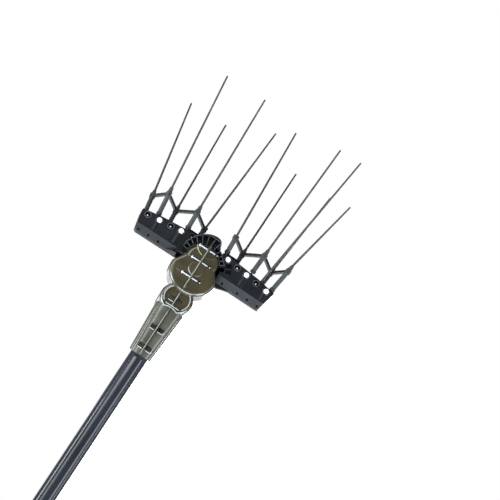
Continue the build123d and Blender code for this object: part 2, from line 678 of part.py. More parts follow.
def hub_plate():
    """Left hub plate: ribbed ring in the front slot and an arm inside the comb."""
    plate = slab(hub_outline(), -HUB_FAR, -HUB_NEAR)
    plate += slab(crest_face(RING_R - 2), -HUB_FAR, -CREST_NEAR)
    for cell in ring_cells():
        plate -= slab(cell, -HUB_FAR - 1, -HUB_FAR + CELL_DEPTH)
    arm = block(-ARM_OUT, -ARM_ROOT_OUT, -ARM_FAR, -ARM_NEAR, ARM_LOW, ARM_HIGH)
    for x in DOWEL_X:
        arm -= disc(DOWEL_R, (ARM_LOW + ARM_HIGH) / 2, -ARM_FAR - 1, 0, -x)
    plate = plate + slab(arm_root(), -CREST_NEAR, -ARM_NEAR) + arm
    return plate - disc(BUSH_R, PIVOT_UP, -HUB_FAR - 1, -HUB_NEAR + 1)


def hub_bush():
    """Plain bush that turns on the pivot shaft."""
    bush = disc(BUSH_R, PIVOT_UP, -HUB_FAR, -HUB_NEAR)
    return bush - disc(PIVOT_R + BUSH_RUN, PIVOT_UP, -HUB_FAR - 1, -HUB_NEAR + 1)


# Comb shells -------------------------------------------------------------------------------

def comb_outline():
    """Outline of the left comb body, from the arc round the hub to the drooping outer end."""
    rise = math.degrees(math.asin((PIVOT_UP - INNER_BOTTOM_UP) / INNER_ARC_R))
    start = polar(INNER_ARC_R, 180 + rise)
    end = polar(INNER_ARC_R, INNER_TOP_ANGLE)
    middle = (180 + rise + INNER_TOP_ANGLE) / 2
    arc = ThreePointArc(start, polar(INNER_ARC_R, middle), end)
    top = [(end[0], COMB_TOP_INNER[1]), COMB_TOP_INNER, COMB_TOP_MIDDLE, COMB_TOP_OUTER]
    points = [end, *top, COMB_SIDE_LOW]
    face = make_face([arc, Polyline(*points, start)])
    low_corner = face.vertices().sort_by_distance(Vector(*COMB_SIDE_LOW, 0))[0]
    face = fillet(low_corner, COMB_LOW_FILLET)
    high_corner = face.vertices().sort_by_distance(Vector(*COMB_TOP_OUTER, 0))[0]
    return fillet(high_corner, COMB_HIGH_FILLET)


def root_extension(right):
    """Inner end of the far shell, which reaches in towards the housing; the right comb's one droops."""
    inner = ROOT_R_RIGHT if right else ROOT_R_LEFT
    sector = ring_sector(inner, INNER_ARC_R + SHELL_WALL, *ROOT_ANGLES)
    sector &= Pos(0, INNER_BOTTOM_UP + BIG / 2) * Rectangle(BIG, BIG)
    if right:
        sector += make_face(Polyline(*DROOP, close=True))
    return sector


def screw_up(x):
    """Height of a clamp screw at a given X, following the comb's droop."""
    return SCREW_UP - (abs(x) - abs(SCREW_X[0])) * SCREW_DROP


def shell_hollow(side):
    """Hollow inside one shell, leaving walls round every rod and screw."""
    inner = offset(comb_outline(), -SHELL_WALL, kind=Kind.INTERSECTION)
    inner -= Pos(0, PIVOT_UP) * Circle(ROOT_SOLID_R)
    for x in ROD_X[1:]:
        inner -= Pos(x + ROD_BOX_SHIFT, ROD_BOX_FLOOR + BIG / 2) * Rectangle(2 * ROD_BOX_HALF, BIG)
    for x in SCREW_X:
        inner -= Pos(x, screw_up(x)) * Circle(BOSS_RING_R)
    inner &= Pos(0, THIN_START + BIG / 2) * Rectangle(BIG, BIG)
    hollow = slab(inner, -SHELL_HALF + SHELL_WALL, 0)
    if side > 0:
        hollow = mirror(hollow, Plane.XZ)
    return hollow


def thinning():
    """Wedge that thins the comb's front towards its lower edge."""
    outside = -SHELL_HALF - BARREL_R
    wedge = make_face(Polyline(
        (-SHELL_HALF, THIN_START), (outside, THIN_START), (outside, 0),
        (-SHELL_HALF + THIN_DEPTH, 0), (-SHELL_HALF + THIN_DEPTH, THIN_END), close=True))
    return extrude(Plane.YZ.offset(-BIG / 2) * wedge, BIG)


def root_gusset():
    """Web that thickens the near shell towards the hub plate."""
    thin = -SHELL_HALF + THIN_DEPTH
    face = make_face(Polyline(
        (-GUSSET_OUT, thin), (-INNER_ARC_R, thin), (-INNER_ARC_R, -SHELL_HALF), (-ARM_ROOT_OUT, -SHELL_HALF),
        close=True))
    return extrude(Plane.XY.offset(INNER_BOTTOM_UP) * face, THIN_START - INNER_BOTTOM_UP)


def outer_trim(side):
    """Boss rings round every screw and upright barrels under the large heads, front side."""
    trim = []
    for index, x in enumerate(SCREW_X):
        if side > 0 or index > 0:
            face = -SHELL_HALF - BOSS_RING_PROUD
            trim.append(disc(BOSS_RING_R, screw_up(x), face, -SHELL_HALF + SHELL_WALL, x))
        if ROD_ROW[index] == side and index > 0:
            height = screw_up(x) - PAN_R - BARREL_GAP - BARREL_LOW
            axis_y = -SHELL_HALF - BARREL_PROUD + BARREL_R
            bar = Pos(x, axis_y, BARREL_LOW + height / 2) * Cylinder(BARREL_R, height)
            trim.append(bar & block(-BIG, BIG, -BIG, -SHELL_HALF + SHELL_WALL, 0, BIG))
    return trim


def rod_axis(index, slopes):
    """Point on a rod at brace height and its direction through the sleeve."""
    row = ROD_ROW[index]
    point = Vector(ROD_X[index], row * ROW_HALF, BRACE_UP)
    if ROD_NAMES[index] in CRANKED_TILT:
        tilt = CRANKED_TILT[ROD_NAMES[index]]
        return point, Vector(tilt, row * math.tan(math.radians(ROW_TILT)), 1).normalized()
    return point, upper_direction(index, slopes[index])


def root_channel(point, direction, floor):
    """Round channel that a rod's root fills, from its lower end up through the comb's top."""
    start = point + direction * ((floor - point.Z) / direction.Z)
    plane = Plane(origin=start, z_dir=direction)
    return plane * Pos(0, 0, ROOT_CHANNEL / 2) * Cylinder(ROD_R + ROD_FIT, ROOT_CHANNEL)


def rod_floor(index):
    """Height of a rod's lower end; the innermost rod stands in the short shoulder block."""
    if index == 0:
        return INNER_ROD_FLOOR
    return ROD_FLOOR


def comb_shell(side, slopes, right):
    """One moulded half of a comb: side -1 is the hub plate's side, +1 the far side.

    The right comb has the drooping root and the hole for the extra rod."""
    outline = comb_outline()
    if side > 0:
        outline += root_extension(right)
    body = slab(outline, -SHELL_HALF, 0) - thinning()
    for piece in outer_trim(side):
        body += piece
    if side < 0:
        body += root_gusset()
    if side > 0:
        for start, end in ROOT_CELLS:
            cell = ring_sector(ROOT_CELL_R[0], ROOT_CELL_R[1], start, end)
            body -= slab(cell, -BIG, -SHELL_HALF + ROOT_CELL_DEPTH)
        body = mirror(body, Plane.XZ)
    body -= shell_hollow(side)
    y_edges = sorted((0, side * BLOCK_HALF))
    body += block(BLOCK_X[0], BLOCK_X[1], y_edges[0], y_edges[1], COMB_TOP_INNER[1] - SHELL_WALL, BLOCK_TOP)
    for index in range(len(ROD_X)):
        point, direction = rod_axis(index, slopes)
        body -= root_channel(point, direction, rod_floor(index))
    if right:
        body -= root_channel(*extra_rod_axis(), EXTRA_ROD_FLOOR)
    cell_edges = sorted((side * (BLOCK_HALF - BLOCK_CELL_DEPTH), side * (BLOCK_HALF + 1)))
    for x in BLOCK_CELLS:
        body -= block(x - BLOCK_CELL_HALF, x + BLOCK_CELL_HALF, cell_edges[0], cell_edges[1],
                      COMB_TOP_INNER[1] + BLOCK_RIM / 2, BLOCK_TOP - BLOCK_RIM)
    for index, x in enumerate(SCREW_X):
        body -= disc(M5_HOLE_R, screw_up(x), -BIG, BIG, x)
        if ROD_ROW[index] != side:
            edges = sorted((side * (SHELL_HALF - RECESS_DEPTH), side * BIG))
            body -= disc(RECESS_R, screw_up(x), edges[0], edges[1], x)
    for x in TAPPING_X:
        body -= disc(TAPPING_R, TAPPING_UP, -SHELL_HALF, SHELL_HALF, x)
        body -= disc(TAPPING_HEAD_R, TAPPING_UP, -BIG, -TAPPING_FACE, x)
        body -= disc(TAPPING_HEAD_R, TAPPING_UP, TAPPING_FACE, BIG, x)
    middle = (ARM_LOW + ARM_HIGH) / 2
    if side < 0:
        body -= block(-ARM_ROOT_OUT, 0, -HUB_FAR, 0, ARM_ROOT_LOW, ARM_ROOT_HIGH)
        body -= block(-ARM_OUT, 0, -ARM_FAR, -ARM_NEAR, ARM_LOW, ARM_HIGH)
        for x in DOWEL_X:
            body -= disc(DOWEL_R + DOWEL_WALL, middle, -ARM_NEAR, 1, -x)
    else:
        for x in DOWEL_X:
            body += disc(DOWEL_R + DOWEL_WALL, middle, -ARM_NEAR, DOWEL_BOSS_END, -x)
            body -= disc(DOWEL_R, middle, -ARM_NEAR - 1, DOWEL_END, -x)
    return body


def comb_screws():
    """Large pan-head screws and their nuts, one beside each rod of the left comb."""
    screws = []
    nuts = []
    for index, x in enumerate(SCREW_X):
        side = ROD_ROW[index]
        length = 2 * SHELL_HALF - RECESS_DEPTH + NUT_HEIGHT + BOSS_RING_PROUD + SCREW_TAIL
        turn = Rot(90, 0, 0) if side < 0 else Rot(-90, 0, 0)
        place = Pos(x, side * (SHELL_HALF + BOSS_RING_PROUD), screw_up(x))
        screws.append(place * (turn * pan_screw(M5_R, length, PAN_R, PAN_HEIGHT)))
        nut_low = -2 * SHELL_HALF - BOSS_RING_PROUD + RECESS_DEPTH - NUT_HEIGHT
        nut = Pos(0, 0, nut_low) * hex_nut(NUT_FLAT, NUT_HEIGHT, M5_R)
        nuts.append(place * (turn * nut))
    return screws, nuts


def tapping_screws():
    """Small screws that close the comb along its lower edge."""
    screws = []
    for x in TAPPING_X:
        screw = pan_screw(TAPPING_R, 2 * TAPPING_FACE, TAPPING_HEAD_R - 0.1, TAPPING_HEAD_HEIGHT)
        screws.append(Pos(x, -TAPPING_FACE, TAPPING_UP) * (Rot(90, 0, 0) * screw))
    return screws


def dowels():
    """Two dowels that lock the hub plate's arm to the comb's far shell."""
    middle = (ARM_LOW + ARM_HIGH) / 2
    return [disc(DOWEL_R, middle, -ARM_FAR, DOWEL_END, -x) for x in DOWEL_X]


# Rods, sleeves and brace -------------------------------------------------------------------

def comb_top(x):
    """Height of the comb's top face at a given X."""
    knots = [COMB_TOP_INNER, COMB_TOP_MIDDLE, COMB_TOP_OUTER]
    for (xa, za), (xb, zb) in zip(knots, knots[1:]):
        if x >= xb:
            return za + (zb - za) * max(0.0, xa - x) / (xa - xb)
    return knots[-1][1]


def sleeve_floor(index):
    """Height of a sleeve's lower end, just above the comb's top face."""
    return comb_top(ROD_X[index]) + SLEEVE_GAP


def sleeve_and_ring(index, slopes):
    """Tubular sleeve with a coned tip, and the rubber ring under it."""
    point, direction = rod_axis(index, slopes)
    plane = Plane(origin=point, z_dir=direction)
    low = (sleeve_floor(index) - BRACE_UP) / direction.Z
    body = rod_along_z(SLEEVE_R, low + RING_HEIGHT, SLEEVE_ABOVE)
    cone = Pos(0, 0, SLEEVE_ABOVE + SLEEVE_TIP / 2) * Cone(SLEEVE_R, SLEEVE_TIP_R, SLEEVE_TIP)
    bore = rod_along_z(ROD_R + ROD_FIT, low - 1, SLEEVE_ABOVE + SLEEVE_TIP + 1)
    ring = rod_along_z(END_RING_R, low, low + RING_HEIGHT)
    sleeve = body + cone
    if index == 0:
        sleeve = body
    return plane * (sleeve - bore), plane * (ring - bore)


def brace_bar(start, end):
    """Flat bar between two sleeves, with a groove along both sides."""
    run = end - start
    plane = Plane(origin=(start + end) * 0.5, x_dir=run, z_dir=(0, 0, 1))
    bar = Box(run.length, BAR_WIDTH, BAR_HEIGHT)
    for side in (-1, 1):
        groove = Box(run.length - 3 * COLLAR_R, 2 * GROOVE_DEPTH, GROOVE_WIDTH)
        bar -= Pos(0, side * BAR_WIDTH / 2, 0) * groove
    return plane * bar


def brace(slopes):
    """Zig-zag strip that ties the sleeves of both rows together."""
    axes = [rod_axis(index, slopes) for index in range(len(ROD_X))]
    strip = brace_bar(axes[0][0], axes[1][0])
    for (start, _), (end, _) in zip(axes[1:], axes[2:]):
        strip += brace_bar(start, end)
    for point, direction in axes:
        plane = Plane(origin=point, z_dir=direction)
        strip += plane * Cylinder(COLLAR_R, COLLAR_HEIGHT)
    for point, direction in axes:
        plane = Plane(origin=point, z_dir=direction)
        strip -= plane * Cylinder(SLEEVE_R, 3 * COLLAR_HEIGHT)
    return strip


def straight_rod(point, direction, floor, length):
    """Rod from its root in the comb to a slightly tapered round tip."""
    low = (floor - point.Z) / direction.Z
    taper = length * TAPER_SHARE
    body = rod_along_z(ROD_R, low, length - taper)
    tip = Pos(0, 0, length - taper / 2) * Cone(ROD_R, ROD_TIP_R, taper)
    tip = fillet(tip.edges().sort_by(Axis.Z)[-1], TIP_ROUND)
    return Plane(origin=point, z_dir=direction) * (body + tip)


def cranked_rod(point, direction, upper, floor, length):
    """Rod that leans with its sleeve and then bends to stand upright."""
    root = point + direction * ((floor - point.Z) / direction.Z)
    knee = point + direction * (SLEEVE_ABOVE + KNEE_ABOVE)
    clear = knee + upper * KNEE_RUN
    path = FilletPolyline(root, knee, clear, radius=BEND_R)
    section = Plane(origin=root, z_dir=direction) * Circle(ROD_R)
    rest = length - SLEEVE_ABOVE - KNEE_ABOVE - KNEE_RUN
    tip = Pos(0, 0, rest / 2) * Cone(ROD_R, ROD_TIP_R, rest)
    tip = fillet(tip.edges().sort_by(Axis.Z)[-1], TIP_ROUND)
    return sweep(section, path=path) + Plane(origin=clear, z_dir=upper) * tip


def upper_direction(index, slope):
    """Direction of a rod above the brace, from its sideways spread and its lean in degrees."""
    spread, lean = slope
    return Vector(spread, ROD_ROW[index] * math.tan(math.radians(lean)), 1).normalized()


def extra_rod_axis():
    """Extra rod of the right comb, drawn in the left comb's frame before the half turn."""
    spread, lean = EXTRA_ROD_SLOPE
    point = Vector(-EXTRA_ROD_X, ROW_HALF, BRACE_UP)
    return point, Vector(spread, math.tan(math.radians(lean)), 1).normalized()


def comb_rods(slopes, right):
    """The rods of one comb in the left comb's frame, by letter."""
    rods = {}
    for index, letter in enumerate(ROD_NAMES):
        point, direction = rod_axis(index, slopes)
        floor = rod_floor(index)
        length = SHORT_ROD if right and letter == "e" else ROD_LENGTH
        if letter in CRANKED_TILT:
            upper = upper_direction(index, slopes[index])
            rods[letter] = cranked_rod(point, direction, upper, floor, length)
        else:
            rods[letter] = straight_rod(point, direction, floor, length)
    if right:
        rods["f"] = straight_rod(*extra_rod_axis(), EXTRA_ROD_FLOOR, ROD_LENGTH)
    return rods


# Combs -------------------------------------------------------------------------------------

def comb_parts(name, right):
    """Every piece of one comb; the right comb is the left one turned half a turn about Z."""
    slopes = RIGHT_RODS if right else LEFT_RODS
    screws, nuts = comb_screws()
    pairs = [sleeve_and_ring(index, slopes) for index in range(len(ROD_X))]
    parts = {
        "hub_plate": hub_plate(),
        "hub_bush": hub_bush(),
        "near_shell": comb_shell(-1, slopes, right),
        "far_shell": comb_shell(1, slopes, right),
        "clamp_screws": Compound(children=screws),
        "clamp_nuts": Compound(children=nuts),
        "edge_screws": Compound(children=tapping_screws()),
        "hub_dowels": Compound(children=dowels()),
        "zigzag_brace": brace(slopes),
        "rod_sleeves": Compound(children=[pair[0] for pair in pairs]),
        "sleeve_rings": Compound(children=[pair[1] for pair in pairs]),
    }
    for letter, rod in comb_rods(slopes, right).items():
        parts["rod_" + letter] = rod
    turn = TURN if right else Rot(0, 0, 0)
    return {name + "_" + key: turn * shape for key, shape in parts.items()}


def head_parts():
    """Every piece above the pole, about the drum centre."""
    housing = housing_body()
    neck = neck_body()
    parts = {
        "housing_left": half(housing, -1),
        "housing_right": half(housing, 1),
        "neck_clamp_left": half(neck, -1),
        "neck_clamp_right": half(neck, 1),
    }
    screw = Rot(0, -90, 0) * pan_screw(M4_R, CHANNEL_HALF - SCREW_HEAD_X, M4_HEAD_R, M4_HEAD_HEIGHT)
    nut = Rot(0, 90, 0) * hex_nut(CLOSING_NUT_FLAT, NUT_HEIGHT, M4_R)
    closing = [Pos(SCREW_HEAD_X, CHANNEL_Y, up) * screw for up in CHANNEL_HEIGHTS]
    closing_nuts = [Pos(CLOSING_NUT_X, CHANNEL_Y, up) * nut for up in CHANNEL_HEIGHTS]
    parts["housing_screws"] = Compound(children=closing)
    parts["housing_nuts"] = Compound(children=closing_nuts)
    parts["neck_screws"] = Compound(children=[clamp_screw(y, up) for y, up in clamp_places()])
    parts["neck_nuts"] = Compound(children=[clamp_nut(y, up) for y, up in clamp_places()])
    parts.update(crank_parts())
    parts.update(motor_parts())
    parts.update(shaft_parts())
    parts.update(comb_parts("left", False))
    parts.update(comb_parts("right", True))
    return parts


def save(parts, place):
    """Write one STEP file for each named part."""
    for name, shape in parts.items():
        export_step(place * shape, os.path.join("parts", name + ".step"))


os.makedirs("parts", exist_ok=True)
save(pole_parts(), Pos(0, 0, 0))
save(head_parts(), HEAD)
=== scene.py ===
import json
import math

import bpy
from mathutils import Matrix, Vector


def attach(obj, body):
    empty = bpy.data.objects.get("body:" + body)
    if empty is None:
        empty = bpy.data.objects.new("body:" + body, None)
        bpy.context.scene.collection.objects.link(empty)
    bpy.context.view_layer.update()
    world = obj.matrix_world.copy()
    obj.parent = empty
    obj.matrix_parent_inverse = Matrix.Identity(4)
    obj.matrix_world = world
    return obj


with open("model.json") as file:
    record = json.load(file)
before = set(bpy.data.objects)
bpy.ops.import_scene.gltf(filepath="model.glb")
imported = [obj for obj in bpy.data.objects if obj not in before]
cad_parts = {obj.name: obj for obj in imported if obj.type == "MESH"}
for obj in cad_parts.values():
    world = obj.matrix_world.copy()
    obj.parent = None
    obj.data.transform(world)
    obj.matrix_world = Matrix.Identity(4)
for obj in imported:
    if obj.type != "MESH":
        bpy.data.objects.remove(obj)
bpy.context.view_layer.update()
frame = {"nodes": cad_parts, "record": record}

# The olive harvester head: +Z up the pole, -Y the front. The scene is in metres.
MM = 0.001
DRUM_Z = 0.640
WHITE = (1.0, 1.0, 1.0)
ROOT = "pole_and_housing"

# Hub plates and clamp screws, in millimetres about the drum centre.
# The crest is the hub plate's outline: angle from +X and radius about the pivot.
PIVOT_UP = 26.0
CREST = (
    (28, 45), (66, 45.5), (72, 50), (79, 58.5), (104, 59.5),
    (112, 57.5), (131, 53), (152, 48.5), (166, 45))
SCREW_OUT = (38.0, 60.5, 81.0, 103.7, 126.7)
SCREW_UP = 64.3
SCREW_DROP = 0.128
ROD_ROW = (1, -1, 1, -1, 1)
HEAD_RING_R = 6.6
NUT_RING_R = 5.9
RING_FACE = 17.0
STUB_R = 2.2
STUB_IN = 9.5
STUB_OUT = 14.5

# Mesh of a bead
TUBE_SIDES = 10
PARALLEL = 0.1
END_SHRINK = 0.4

# Beads: radii, end points and arcs in millimetres about the drum centre.
# An arc is its radius, start and end angle, Y, centre and number of steps.
# The seam gets a painted highlight bead at SEAM_X and a painted shade bead at SEAM_SHADE_X.
SEAM_X = -0.9
SEAM_SHADE_X = 1.2
SEAM_R = 0.95
SEAM_DRUM_Y = -37.3
SEAM_DRUM_SPAN = (-38.5, 56.0)
SEAM_KNUCKLE_Y = -29.3
SEAM_KNUCKLE_SPAN = (-79.0, -45.5)
NECK_SEAM_LOW = (-26.9, -187.0)
NECK_SEAM_HIGH = (-29.4, -81.5)
NECK_SEAM_BACK_UP = -163.5
LOBE_ARC = (25.2, 207, 257, -36.1, (0.0, 60.0))
LOBE_BEAD_R = 1.0
RIM_BEAD_R = 0.9
BOSS_ARC = (14.0, 195, 262, -36.4, (0.0, 6.0))
KNUCKLE_ARC = (24.0, -42, 222, -28.7, (0.0, -59.0), 60)
COLLAR_LINE = ((-14.0, -29.2, -77.5), (15.0, -29.2, -77.5))
COLLAR_ARCS = (
    (30.0, 120, 60, -28.9, (0.0, -111.0), 30),
    (28.0, 200, 245, -28.9, (0.0, -59.0), 20),
    (28.0, 295, 340, -28.9, (0.0, -59.0), 20))
LIP_R = 0.8
LIP_PLACES = ((-133.8, -26.1), (-176.0, -24.9))
LIP_OUT = 13.0
LIP_IN = 2.4
HOOK_OUT = 13.6
HOOK_X = 14.2
HOOK_RISE = (0.8, 5.5)
KNUCKLE_LIP = (-27.6, -68.6)
SIDE_LOW = (18.3, 20.6)
SIDE_HIGH = (23.3, 21.8)
SIDE_TOP_UP = -84.0
SIDE_FRONT_UP = -186.0
SIDE_BACK_UP = -166.0
RING_ANGLES = (28.0, 166.0)
RING_INNER_R = 34.6
RING_STEPS = 50
RING_Y = -25.0
RIB_COUNT = 12
RIB_START_R = 35.0
RIB_INSET = 1.5
CREST_INSET = 1.0
RIB_BEAD_R = 0.55
HEAD_BEAD_R = 0.45
HEAD_BEAD_STEPS = 36
SHORT_STEPS = 3

# Finishes
BEVEL_SAMPLES = 4
EDGE_RANGE = (0.90, 0.995)
SCATTER_SCALE = 260.0
SCATTER_LOW = (0.25, 0.25, 0.25)
SCATTER_RANGE = (0.35, 0.65)
PATCH_DETAIL = 5.0
SMUDGE_DETAIL = 6.0
SMUDGE_SCALE = 2.3
GRAIN_DETAIL = 3.0
BUMP_STRENGTH = 0.6
COAT_ROUGHNESS = 0.08

# Camera: below the head, looking up along +Y, rolled so that the pole leans to the right
ELEVATION = math.radians(-25.6)
ROLL = math.radians(33.17)
DISTANCE = 6.0
FIELD = 0.905
SENSOR = 36.0
CLIP_END = 100.0
TARGET = Vector((0.0616, 0.0, DRUM_Z + 0.1130))
FLOOR_Z = -2.1
FLOOR_REACH = 40.0
FLOOR_GLOW = 0.35
AMBIENT = 0.2


# Node helpers ------------------------------------------------------------------------------

def new_material(name):
    """An empty material and its node tree, with a Principled shader wired to the output."""
    material = bpy.data.materials.new(name)
    material.use_nodes = True
    tree = material.node_tree
    tree.nodes.clear()
    output = tree.nodes.new("ShaderNodeOutputMaterial")
    shader = tree.nodes.new("ShaderNodeBsdfPrincipled")
    tree.links.new(shader.outputs["BSDF"], output.inputs["Surface"])
    return material, tree, shader


def noise(tree, scale, detail=4.0, stretch=(1, 1, 1)):
    """Noise in the object's own coordinates; scale is in features per metre."""
    place = tree.nodes.new("ShaderNodeTexCoord")
    mapping = tree.nodes.new("ShaderNodeMapping")
    mapping.inputs["Scale"].default_value = stretch
    texture = tree.nodes.new("ShaderNodeTexNoise")
    texture.inputs["Scale"].default_value = scale
    texture.inputs["Detail"].default_value = detail
    tree.links.new(place.outputs["Object"], mapping.inputs["Vector"])
    tree.links.new(mapping.outputs["Vector"], texture.inputs["Vector"])
    return texture.outputs["Fac"]


def ramp(tree, value, low, high, start=0.3, end=0.7):
    """Maps a value between two colours or grey levels."""
    node = tree.nodes.new("ShaderNodeValToRGB")
    node.color_ramp.elements[0].position = start
    node.color_ramp.elements[1].position = end
    node.color_ramp.elements[0].color = (*low, 1.0)
    node.color_ramp.elements[1].color = (*high, 1.0)
    tree.links.new(value, node.inputs["Fac"])
    return node.outputs["Color"]


def mix(tree, factor, first, second):
    """Mixes two colour outputs by a factor output."""
    node = tree.nodes.new("ShaderNodeMix")
    node.data_type = "RGBA"
    tree.links.new(factor, node.inputs["Factor"])
    tree.links.new(first, node.inputs["A"])
    tree.links.new(second, node.inputs["B"])
    return node.outputs["Result"]


def edge_mask(tree, radius, low, high):
    """Near one along sharp edges and near zero on flat faces."""
    bevel = tree.nodes.new("ShaderNodeBevel")
    bevel.inputs["Radius"].default_value = radius
    bevel.samples = BEVEL_SAMPLES
    flat = tree.nodes.new("ShaderNodeNewGeometry")
    dot = tree.nodes.new("ShaderNodeVectorMath")
    dot.operation = "DOT_PRODUCT"
    tree.links.new(bevel.outputs["Normal"], dot.inputs[0])
    tree.links.new(flat.outputs["Normal"], dot.inputs[1])
    return ramp(tree, dot.outputs["Value"], WHITE, (0, 0, 0), low, high)


def finish_material(name, dark, light, rough, grain, stretch=(1, 1, 1), patch=35.0, metallic=0.0, coat=0.0,
                    edge=None, edge_radius=0.0006, specular=0.5):
    """A finish with mottled colour, uneven roughness and a fine bump.

    dark and light are the two colours, rough the two roughness levels, grain is (scale, depth).
    edge is the colour that shows along worn edges."""
    material, tree, shader = new_material(name)
    patches = noise(tree, patch, PATCH_DETAIL, stretch)
    colour = ramp(tree, patches, dark, light)
    if edge:
        worn = edge_mask(tree, edge_radius, *EDGE_RANGE)
        edge_node = tree.nodes.new("ShaderNodeRGB")
        edge_node.outputs[0].default_value = (*edge, 1.0)
        scatter = ramp(tree, noise(tree, SCATTER_SCALE), SCATTER_LOW, WHITE, *SCATTER_RANGE)
        both = tree.nodes.new("ShaderNodeMath")
        both.operation = "MULTIPLY"
        tree.links.new(worn, both.inputs[0])
        tree.links.new(scatter, both.inputs[1])
        colour = mix(tree, both.outputs[0], colour, edge_node.outputs[0])
    tree.links.new(colour, shader.inputs["Base Color"])
    uneven = noise(tree, patch * SMUDGE_SCALE, SMUDGE_DETAIL, stretch)
    smudges = ramp(tree, uneven, (rough[0],) * 3, (rough[1],) * 3)
    tree.links.new(smudges, shader.inputs["Roughness"])
    bump = tree.nodes.new("ShaderNodeBump")
    bump.inputs["Distance"].default_value = grain[1]
    bump.inputs["Strength"].default_value = BUMP_STRENGTH
    tree.links.new(noise(tree, grain[0], GRAIN_DETAIL, stretch), bump.inputs["Height"])
    tree.links.new(bump.outputs["Normal"], shader.inputs["Normal"])
    shader.inputs["Metallic"].default_value = metallic
    shader.inputs["Specular IOR Level"].default_value = specular
    shader.inputs["Coat Weight"].default_value = coat
    shader.inputs["Coat Roughness"].default_value = COAT_ROUGHNESS
    return material


MATERIALS = {
    "housing_plastic": finish_material(
        "housing_olive", (0.026, 0.020, 0.008), (0.048, 0.038, 0.017), (0.12, 0.24), (900.0, 0.00003),
        coat=1.0, edge=(0.16, 0.155, 0.125)),
    "neck_plastic": finish_material(
        "neck_grey_olive", (0.048, 0.045, 0.030), (0.088, 0.086, 0.066), (0.16, 0.28), (900.0, 0.00003),
        coat=1.0),
    "pole_paint": finish_material(
        "pole_slate", (0.006, 0.007, 0.010), (0.014, 0.018, 0.027), (0.16, 0.26), (700.0, 0.00002),
        stretch=(1, 1, 0.15), coat=1.0),
    "comb_plastic": finish_material(
        "comb_black", (0.0045, 0.005, 0.006), (0.010, 0.011, 0.013), (0.28, 0.42), (1400.0, 0.00005),
        edge=(0.050, 0.055, 0.060), specular=0.2),
    "brace_plastic": finish_material(
        "brace_black", (0.010, 0.012, 0.012), (0.024, 0.027, 0.027), (0.30, 0.45), (1400.0, 0.00005),
        edge=(0.09, 0.095, 0.095)),
    "sleeve_rubber": finish_material(
        "sleeve_rubber", (0.014, 0.017, 0.016), (0.036, 0.040, 0.038), (0.40, 0.6), (1800.0, 0.00006)),
    "ring_rubber": finish_material(
        "ring_rubber", (0.003, 0.003, 0.003), (0.007, 0.007, 0.007), (0.5, 0.7), (1800.0, 0.00005)),
    "carbon_rod": finish_material(
        "carbon_rod", (0.020, 0.020, 0.018), (0.050, 0.049, 0.045), (0.3, 0.48), (1500.0, 0.00005),
        stretch=(1, 1, 0.05), patch=220.0),
    "zinc_steel": finish_material(
        "bright_zinc", (0.78, 0.79, 0.80), (0.94, 0.95, 0.95), (0.22, 0.38), (800.0, 0.00003),
        metallic=0.1),
    "black_steel": finish_material(
        "black_oxide", (0.004, 0.004, 0.004), (0.012, 0.012, 0.012), (0.35, 0.5), (900.0, 0.00003),
        metallic=0.5),
    "machined_steel": finish_material(
        "machined_steel", (0.48, 0.48, 0.49), (0.60, 0.60, 0.61), (0.2, 0.36), (900.0, 0.00003),
        metallic=1.0),
    "aluminium": finish_material(
        "turned_aluminium", (0.60, 0.61, 0.63), (0.74, 0.75, 0.77), (0.25, 0.4), (1200.0, 0.00004),
        stretch=(1, 1, 6), metallic=1.0),
    "brass": finish_material(
        "bronze", (0.46, 0.30, 0.11), (0.62, 0.44, 0.18), (0.25, 0.4), (900.0, 0.00003),
        metallic=1.0),
    "iron": finish_material(
        "laminated_iron", (0.10, 0.10, 0.105), (0.18, 0.18, 0.185), (0.4, 0.6), (1500.0, 0.0001),
        stretch=(0.2, 8, 0.2), metallic=0.8),
    "motor_paint": finish_material(
        "motor_black", (0.02, 0.02, 0.022), (0.035, 0.035, 0.038), (0.3, 0.5), (900.0, 0.00005)),
    "black_plastic": finish_material(
        "black_insert", (0.012, 0.012, 0.012), (0.022, 0.022, 0.022), (0.4, 0.55), (1200.0, 0.00006)),
}


ACCENTS = {
    # Painted highlight: light olive-grey beads for the lit side of the seam, the boss crescent and the
    # neck's corners.
    "olive_highlight_bead": finish_material(
        "olive_highlight_bead", (0.17, 0.165, 0.13), (0.24, 0.235, 0.19), (0.2, 0.3), (900.0, 0.00003),
        coat=0.6),
    # Painted highlight: pale grey-teal beads for the bright rims of the knuckle, the collar and the pocket
    # lips.
    "rim_highlight_bead": finish_material(
        "rim_highlight_bead", (0.26, 0.28, 0.27), (0.40, 0.43, 0.42), (0.15, 0.25), (900.0, 0.00003),
        coat=0.8),
    # Painted highlight: light tan bead for the lit edge of the arc on the drum's lobe.
    "tan_highlight_bead": finish_material(
        "tan_highlight_bead", (0.20, 0.16, 0.07), (0.30, 0.25, 0.12), (0.15, 0.3), (900.0, 0.00003),
        coat=0.8),
    "dull_zinc": finish_material(
        "dull_zinc", (0.34, 0.36, 0.37), (0.52, 0.54, 0.56), (0.25, 0.4), (900.0, 0.00003),
        metallic=0.5),
    "shadow_bead": finish_material(
        "shadow_bead", (0.006, 0.006, 0.005), (0.014, 0.013, 0.010), (0.3, 0.45), (900.0, 0.00003)),
    # Painted highlight: grey beads for the lit edges of the comb ribs and of the rings round the screw
    # recesses.
    "rib_highlight_bead": finish_material(
        "rib_highlight_bead", (0.030, 0.031, 0.034), (0.075, 0.078, 0.083), (0.35, 0.5), (1400.0, 0.00005)),
}


NODE_ACCENTS = {"housing_screws": ACCENTS["dull_zinc"]}


def paint_frame():
    """Gives each CAD node the finish of its material slot, or its own accent."""
    for part in frame["record"]["subparts"]:
        node = frame["nodes"][part["node"]]
        node.data.materials.clear()
        node.data.materials.append(NODE_ACCENTS.get(part["node"], MATERIALS[part["material_slot"]]))
